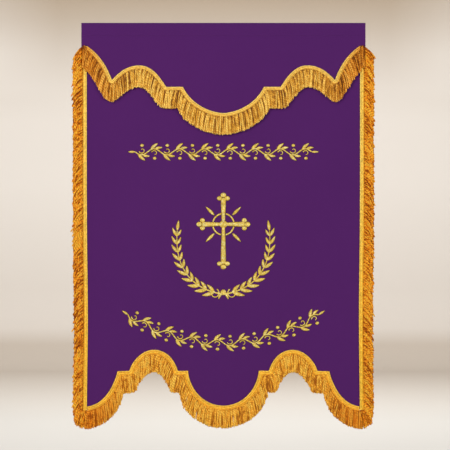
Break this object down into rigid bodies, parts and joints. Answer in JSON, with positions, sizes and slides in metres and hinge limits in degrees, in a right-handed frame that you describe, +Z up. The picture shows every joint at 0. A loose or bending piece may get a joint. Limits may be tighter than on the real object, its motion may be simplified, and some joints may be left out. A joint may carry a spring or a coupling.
{
  "type": "church banner",
  "caption": "Hanging church banner of violet cloth with a shaped valance, a scalloped hem, gold embroidery and gold fringe on its sides, hem and valance.",
  "frame": {"origin": "middle of the banner's top edge, in the main cloth's middle plane", "axes": "+Z up, +X across the banner, -Y towards the viewer of the embroidered face"},
  "size_m": [0.8477, 0.0148, 1.1451],
  "materials": {
    "violet_cloth": "closely woven matt cloth",
    "gold_yarn": "twisted satin yarn with a soft shine",
    "gold_embroidery": "satin stitch in gold thread"
  },
  "bodies": {
    "root": {"panel": "violet_cloth", "valance": "violet_cloth", "valance_fringe": "gold_yarn", "hem_fringe": "gold_yarn", "side_fringe_left": "gold_yarn", "side_fringe_right": "gold_yarn"}
  },
  "joints": []
}
